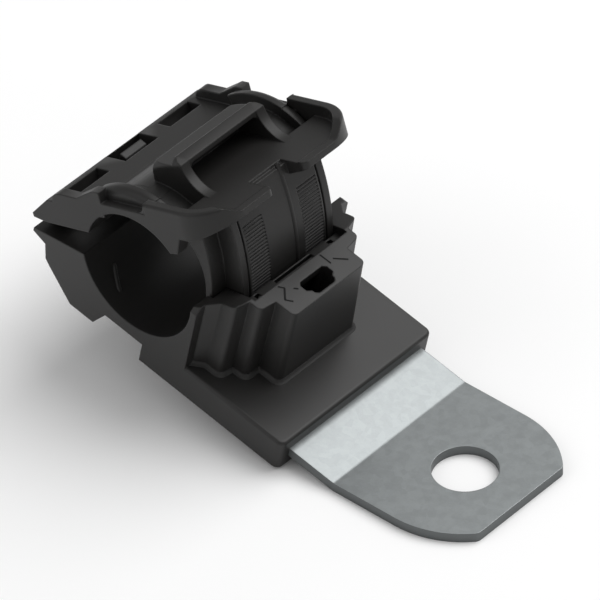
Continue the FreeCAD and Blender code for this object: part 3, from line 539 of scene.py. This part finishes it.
class PCLAMP_OT_thumb_hood(bpy.types.Operator):
    """Cut the back of the thumb catch to a hood that stands up from the arch"""

    bl_idname = "pclamp.thumb_hood"
    bl_label = "Thumb hood"

    def execute(self, context):
        rough = placed(merged(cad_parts["upper_jaw"].data), "rough_jaw")
        behind = [(8.0, FLANGE_SKIN)] + arc(ARCH_CENTRE, ARCH_SKIN, 126.2, 88.0, 8)
        behind += [(HOOD_BACK, 8.2), (HOOD_BACK, CUT_TOP), (8.0, CUT_TOP)]
        beside = arc(ARCH_CENTRE, ARCH_SKIN, 92.0, 78.0, 3) + [(17.9, 7.2), (15.5, 7.2)]
        above = [(16.3, 8.13), (20.0, 8.45)] + arc((20.0, 8.75), 0.3, -90, 0, 3)
        above += [(20.3, CUT_TOP), (16.3, CUT_TOP)]
        cuts = (
            (behind, -CUT_HALF_WIDTH, CUT_HALF_WIDTH),
            (beside, -CUT_HALF_WIDTH, -HOOD_HALF_WIDTH),
            (beside, HOOD_HALF_WIDTH, CUT_HALF_WIDTH),
            (above, -CUT_HALF_WIDTH, CUT_HALF_WIDTH),
        )
        for outline, near, far in cuts:
            ends = [LID @ Matrix.Translation((0, y * MM, 0)) for y in (near, far)]
            cut_away(rough, placed(swept(flat(outline), ends), "hood_waste"))
        piece = placed(merged(rough.data), "upper_jaw_hooded")
        bpy.data.objects.remove(rough)
        even = piece.modifiers.new("even_shading", "WEIGHTED_NORMAL")
        even.keep_sharp = True
        moulded(piece, "lid")
        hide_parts("upper_jaw")
        return {"FINISHED"}


def cut_away(piece, waste):
    """Take the waste out of a piece for good."""
    cut = piece.modifiers.new("cut", "BOOLEAN")
    cut.operation = "DIFFERENCE"
    cut.solver = "EXACT"
    cut.object = waste
    final = piece.evaluated_get(bpy.context.evaluated_depsgraph_get())
    piece.data = bpy.data.meshes.new_from_object(final)
    piece.modifiers.clear()
    bpy.data.objects.remove(waste)


class PCLAMP_OT_tower_fillet(bpy.types.Operator):
    """Run a soft fillet round the foot of the tower"""

    bl_idname = "pclamp.tower_fillet"
    bl_label = "Tower fillet"

    def execute(self, context):
        radius = context.scene.pclamp_details.fillet_radius
        half = [(-25.2, 13.75), (-23.0, 12.115)]
        half += rounded((-20.47, 12.115)) + [(-20.3, 9.915)]
        half += rounded((-18.12, 9.915)) + [(-18.15, 7.315)]
        half += rounded((-14.67, 7.315))
        plan = half + [(x, -y) for x, y in reversed(half)]
        quarter = arc((0, 0), radius / MM, 0, 90, 5)
        hollow = [(radius - x * MM, 0, radius - z * MM) for x, z in quarter]
        profile = hollow + [(radius, 0, -SINK), (-SINK, 0, -SINK), (-SINK, 0, radius)]
        sweep("tower_fillet", profile, plan_stations(plan, FOOT_TOP), "base")
        return {"FINISHED"}


def rounded(corner):
    """Round of one outer corner of the tower's ribs, in the plan."""
    return arc((corner[0] - TOWER_ROUND, corner[1] - TOWER_ROUND), TOWER_ROUND, 90, 0, 4)


def plan_stations(plan, height):
    """Stations with mitred corners along a path in the lower jaw's plan."""
    points = [Vector((x, y, height)) * MM for x, y in plan]
    runs = [(after - before).normalized() for before, after in zip(points, points[1:])]
    stations = []
    for index, point in enumerate(points):
        before = runs[max(index - 1, 0)]
        after = runs[min(index, len(runs) - 1)]
        forward = (before + after).normalized()
        outward = Vector((-forward.y, forward.x, 0)) / forward.dot(after)
        stations.append(JAW @ basis(point, outward, forward, Vector((0, 0, 1))))
    return stations


class PCLAMP_OT_bore_rib(bpy.types.Operator):
    """Raise the short grip rib inside the lower half of the bore"""

    bl_idname = "pclamp.bore_rib"
    bl_label = "Bore rib"

    def execute(self, context):
        height = context.scene.pclamp_details.rib_height
        half = context.scene.pclamp_details.rib_width / 2
        profile = [(-half, 0, -SINK), (half, 0, -SINK), (half, 0, height / 3)]
        profile += [(half / 2, 0, height), (-half / 2, 0, height), (-half, 0, height / 3)]
        stations = []
        for step in range(BORE_RIB_STEPS + 1):
            share = step / BORE_RIB_STEPS
            angle = math.radians(BORE_RIB_START + BORE_RIB_SPAN * share)
            inward = Vector((-math.cos(angle), 0, -math.sin(angle)))
            turn = Vector((-math.sin(angle), 0, math.cos(angle)))
            forward = (turn * 0.85 - Vector((0, 0.45, 0))).normalized()
            centre = Vector((-34.6, -10.4 - 1.7 * share, 11.3)) * MM
            point = centre - inward * BORE_RADIUS * MM
            rise = 0.4 if step in (0, BORE_RIB_STEPS) else 1.0
            across = forward.cross(inward)
            stations.append(JAW @ basis(point, across * rise, forward, inward * rise))
        sweep("bore_rib", profile, stations, "base")
        return {"FINISHED"}


class PCLAMP_OT_tray_corners(bpy.types.Operator):
    """Run the arch's side walls down to the tray and hollow the steps before the rim"""

    bl_idname = "pclamp.tray_corners"
    bl_label = "Tray corners"

    def execute(self, context):
        arch = LID @ Matrix.Translation(Vector((ARCH_CENTRE[0], 0, ARCH_CENTRE[1])) * MM)
        turns = [WALL_END_START + WALL_END_STEP * step for step in range(WALL_END_STEPS + 1)]
        stations = [arch @ Matrix.Rotation(math.radians(turn), 4, "Y") @ ACROSS for turn in turns]
        wall = [(11.55, 9.3), (13.15, 9.3)] + arc((12.05, 10.45), 1.1, 0, 90, 4)
        wall += [(11.55, 11.55)]
        hollow = [(20.45, 4.95), (18.95, 4.95)] + arc((18.95, 6.45), 1.45, -90, 0, 6)
        hollow += [(20.45, 6.45)]
        for side, sign in (("near", -1), ("far", 1)):
            profile = flat([(sign * y, r) for y, r in wall])
            sweep("side_wall_end_" + side, profile, stations, "lid")
            ends = [LID @ Matrix.Translation((0, sign * y * MM, 0)) for y in (13.1, 14.38)]
            sweep("rim_step_" + side, flat(hollow), ends, "lid")
        return {"FINISHED"}


class PCLAMP_OT_strap_ridge(bpy.types.Operator):
    """Raise the thin guide ridge down the middle of the strap"""

    bl_idname = "pclamp.strap_ridge"
    bl_label = "Strap ridge"

    def execute(self, context):
        height = context.scene.pclamp_details.ridge_height
        profile = [(1.35 * MM, 0, -SINK), (2.1 * MM, 0, -SINK)]
        profile += [(1.95 * MM, 0, height), (1.65 * MM, 0, height)]
        outside = Matrix.Translation((0, 0, STRAP_RADIUS * MM))
        stations = []
        for step in range(RIDGE_STEPS + 1):
            angle = math.radians(RIDGE_START + RIDGE_SPAN * step / RIDGE_STEPS)
            stations.append(LID @ Matrix.Rotation(angle, 4, "Y") @ outside @ ACROSS)
        sweep("strap_ridge", profile, stations, "lid")
        return {"FINISHED"}


class PCLAMP_OT_strip(bpy.types.Operator):
    """Give the mounting strip its galvanised finish"""

    bl_idname = "pclamp.strip"
    bl_label = "Mounting strip"

    def execute(self, context):
        dress("mounting_bracket", zinc("galvanised_strip", context.scene.pclamp_strip))
        return {"FINISHED"}


def camera_matrix(studio):
    """World matrix of the camera that puts the bolt hole at its place in the frame."""
    a, e, r = studio.azimuth, studio.elevation, studio.roll
    right = Vector((math.cos(a), math.sin(a), 0))
    back = Vector((math.sin(a) * math.cos(e), -math.cos(a) * math.cos(e), math.sin(e)))
    up = back.cross(right)
    rolled_right = math.cos(r) * right + math.sin(r) * up
    rolled_up = math.cos(r) * up - math.sin(r) * right
    focal = studio.lens / SENSOR * FRAME_PIXELS
    across = (studio.hole_x - FRAME_PIXELS / 2) / focal * studio.distance
    down = (studio.hole_y - FRAME_PIXELS / 2) / focal * studio.distance
    centre = back * studio.distance - rolled_right * across + rolled_up * down
    turn = Matrix((rolled_right, rolled_up, back)).transposed().to_4x4()
    return Matrix.Translation(centre) @ turn


def add_lamp(name, target, offset, size, power):
    """Square lamp at an offset from its target, turned to it, in metres and watts."""
    data = bpy.data.lights.new(name, "AREA")
    data.energy = power
    data.size = size
    lamp = bpy.data.objects.new(name, data)
    bpy.context.scene.collection.objects.link(lamp)
    lamp.location = target + Vector(offset)
    lamp.rotation_euler = (target - lamp.location).to_track_quat("-Z", "Y").to_euler()


def paper():
    """Matt white paper, a little uneven."""
    tree = Tree("studio_paper")
    cloud = tree.noise(30.0, detail=2.0)
    colour = tree.mix(cloud, grey(0.955), grey(0.975))
    tree.set(Base_Color=colour, Roughness=0.9 + 0.05 * (cloud - 0.5))
    return tree.material


class PCLAMP_OT_studio(bpy.types.Operator):
    """Set the floor, the lamps and the camera"""

    bl_idname = "pclamp.studio"
    bl_label = "Studio"

    def execute(self, context):
        studio = context.scene.pclamp_studio
        lay_floor()
        centre = Vector((-0.025, 0, 0.012))
        add_lamp("key_softbox", centre, (0.14, 0.5, 0.85), 0.95, studio.key_power)
        add_lamp("fill_softbox", centre, (-0.5, -0.75, 0.6), 0.8, studio.fill_power)
        context.scene.world = studio_world(studio.world_light)

        data = bpy.data.cameras.new("studio_camera")
        data.lens = studio.lens
        data.sensor_width = SENSOR
        data.clip_start = 0.1
        data.clip_end = 10.0
        camera = bpy.data.objects.new("studio_camera", data)
        context.scene.collection.objects.link(camera)
        camera.matrix_world = camera_matrix(studio)
        bpy.context.scene.camera = camera
        context.scene.view_settings.view_transform = "Standard"
        return {"FINISHED"}


def lay_floor():
    """Plain pale floor, a hair below the strip's pad."""
    sheet = bmesh.new()
    bmesh.ops.create_grid(sheet, x_segments=1, y_segments=1, size=2.5)
    bmesh.ops.translate(sheet, vec=(0, 0, -0.02 * MM), verts=sheet.verts[:])
    mesh = bpy.data.meshes.new("studio_floor")
    sheet.to_mesh(mesh)
    sheet.free()
    floor = bpy.data.objects.new("studio_floor", mesh)
    bpy.context.scene.collection.objects.link(floor)
    mesh.materials.append(paper())


def studio_world(strength):
    """World that lights evenly at a strength and is white where the camera sees it."""
    world = bpy.data.worlds.new("studio_world")
    world.use_nodes = True
    nodes, links = world.node_tree.nodes, world.node_tree.links
    light = nodes["Background"]
    white = nodes.new("ShaderNodeBackground")
    for background, level in ((light, strength), (white, 1.0)):
        background.inputs["Color"].default_value = grey(1.0)
        background.inputs["Strength"].default_value = level
    mix = nodes.new("ShaderNodeMixShader")
    links.new(nodes.new("ShaderNodeLightPath").outputs["Is Camera Ray"], mix.inputs[0])
    links.new(light.outputs[0], mix.inputs[1])
    links.new(white.outputs[0], mix.inputs[2])
    links.new(mix.outputs[0], nodes["World Output"].inputs["Surface"])
    return world


class PCLAMP_PT_panel(bpy.types.Panel):
    """Lists the finishes and the studio"""

    bl_idname = "PCLAMP_PT_panel"
    bl_label = "P clamp"
    bl_space_type = "VIEW_3D"
    bl_region_type = "UI"
    bl_category = "P clamp"

    def draw(self, context):
        for group in SETTINGS:
            settings = getattr(context.scene, group)
            for name in settings.__annotations__:
                self.layout.prop(settings, name)
        for operator in OPERATORS:
            self.layout.operator(operator.bl_idname)


OPERATORS = (
    PCLAMP_OT_jaws,
    PCLAMP_OT_thumb_hood,
    PCLAMP_OT_tower_fillet,
    PCLAMP_OT_bore_rib,
    PCLAMP_OT_tray_corners,
    PCLAMP_OT_strap_ridge,
    PCLAMP_OT_strip,
    PCLAMP_OT_studio,
)
SETTINGS = {
    "pclamp_jaws": JawFinish,
    "pclamp_details": DetailSizes,
    "pclamp_strip": StripFinish,
    "pclamp_studio": StudioSettings,
}


def register():
    for group in SETTINGS.values():
        bpy.utils.register_class(group)
    for operator in OPERATORS:
        bpy.utils.register_class(operator)
    bpy.utils.register_class(PCLAMP_PT_panel)
    for name, group in SETTINGS.items():
        setattr(bpy.types.Scene, name, bpy.props.PointerProperty(type=group))


def unregister():
    for name in SETTINGS:
        delattr(bpy.types.Scene, name)
    bpy.utils.unregister_class(PCLAMP_PT_panel)
    for operator in reversed(OPERATORS):
        bpy.utils.unregister_class(operator)
    for group in reversed(list(SETTINGS.values())):
        bpy.utils.unregister_class(group)


def main():
    register()
    bpy.ops.pclamp.jaws()
    bpy.ops.pclamp.thumb_hood()
    bpy.ops.pclamp.tower_fillet()
    bpy.ops.pclamp.bore_rib()
    bpy.ops.pclamp.tray_corners()
    bpy.ops.pclamp.strap_ridge()
    bpy.ops.pclamp.strip()
    bpy.ops.pclamp.studio()


if __name__ == "__main__":
    main()
